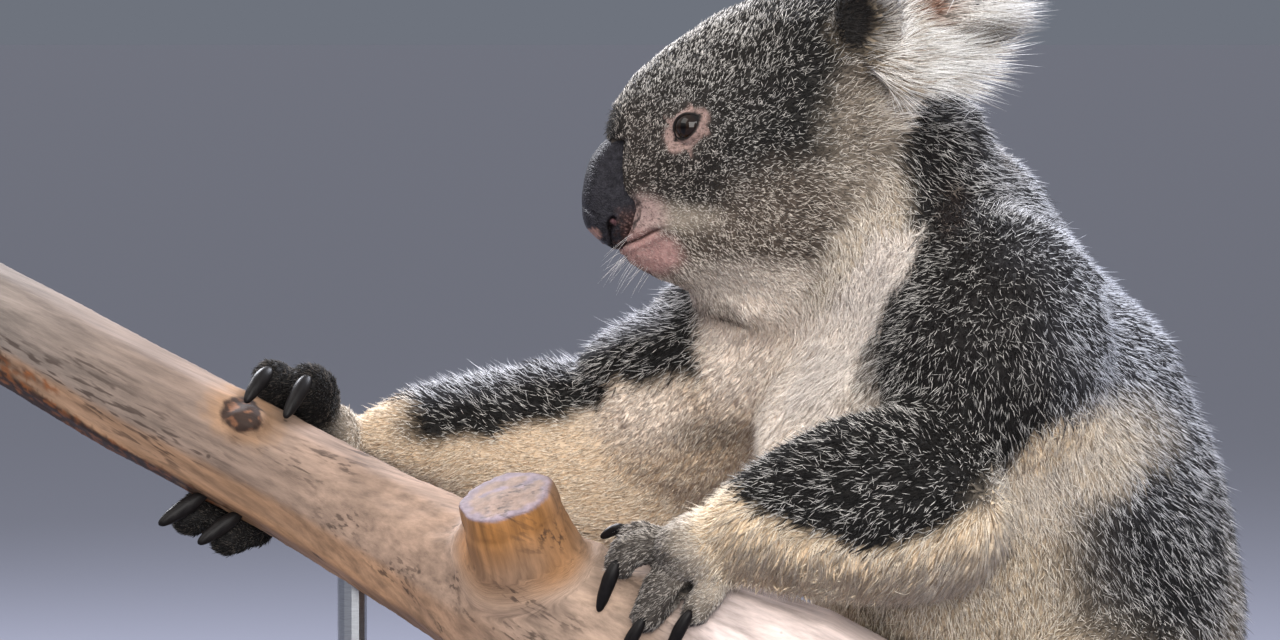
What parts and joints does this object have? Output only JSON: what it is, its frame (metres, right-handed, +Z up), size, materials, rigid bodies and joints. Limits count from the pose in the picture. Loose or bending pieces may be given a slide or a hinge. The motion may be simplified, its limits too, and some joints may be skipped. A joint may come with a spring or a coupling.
{
  "type": "koala",
  "caption": "Still, life-size koala sitting astride a sloping cut branch and gripping it with its paws, head in profile, on a plain display base with rods.",
  "frame": {"origin": "centre of the base board's underside", "axes": "+Z up; the koala faces -Y with its left side towards +X; the branch rises towards -Y"},
  "size_m": [0.33, 0.6834, 0.5704],
  "materials": {
    "grey_fur": "short dense woolly coat, dark grey with pale grizzled tips",
    "cream_fur": "soft cream-white chest fur",
    "tan_fur": "tan grizzled belly and thigh fur",
    "face_fur": "thin pinkish-white fur over bare skin of chin and lip",
    "ear_fur": "long white wispy fringe over a grey back of the ear",
    "paw_fur": "very short grizzled grey fur with black granular pads",
    "nose_leather": "matte charcoal bare skin, finely pebbled",
    "eye": "wet glossy dark brown with a vertical slit pupil",
    "claw_horn": "black horn, smooth with fine lengthwise grooves",
    "branch_wood": "smooth weathered eucalypt wood without bark",
    "steel_rod": "satin ground steel rod",
    "stained_board": "dark stained satin board"
  },
  "bodies": {
    "root": {"stand_base": "stained_board", "stand_rod_front": "steel_rod", "stand_rod_rear": "steel_rod", "perch_branch": "branch_wood", "eye_left": "eye", "eye_right": "eye", "nose": "nose_leather", "lower_jaw": "face_fur", "head": "grey_fur", "ear_left": "ear_fur", "ear_right": "ear_fur", "neck": "grey_fur", "chest": "cream_fur", "belly": "tan_fur", "upper_arm_left": "grey_fur", "forearm_left": "grey_fur", "hand_left": "paw_fur", "thigh_left": "tan_fur", "shank_left": "grey_fur", "foot_left": "paw_fur", "claw_hand_left_1": "claw_horn", "claw_hand_left_2": "claw_horn", "claw_hand_left_3": "claw_horn", "claw_hand_left_4": "claw_horn", "claw_hand_left_5": "claw_horn", "claw_foot_left_2": "claw_horn", "claw_foot_left_3": "claw_horn", "claw_foot_left_4": "claw_horn", "claw_foot_left_5": "claw_horn", "upper_arm_right": "grey_fur", "forearm_right": "grey_fur", "hand_right": "paw_fur", "thigh_right": "tan_fur", "shank_right": "grey_fur", "foot_right": "paw_fur", "claw_hand_right_1": "claw_horn", "claw_hand_right_2": "claw_horn", "claw_hand_right_3": "claw_horn", "claw_hand_right_4": "claw_horn", "claw_hand_right_5": "claw_horn", "claw_foot_right_2": "claw_horn", "claw_foot_right_3": "claw_horn", "claw_foot_right_4": "claw_horn", "claw_foot_right_5": "claw_horn"}
  },
  "joints": []
}
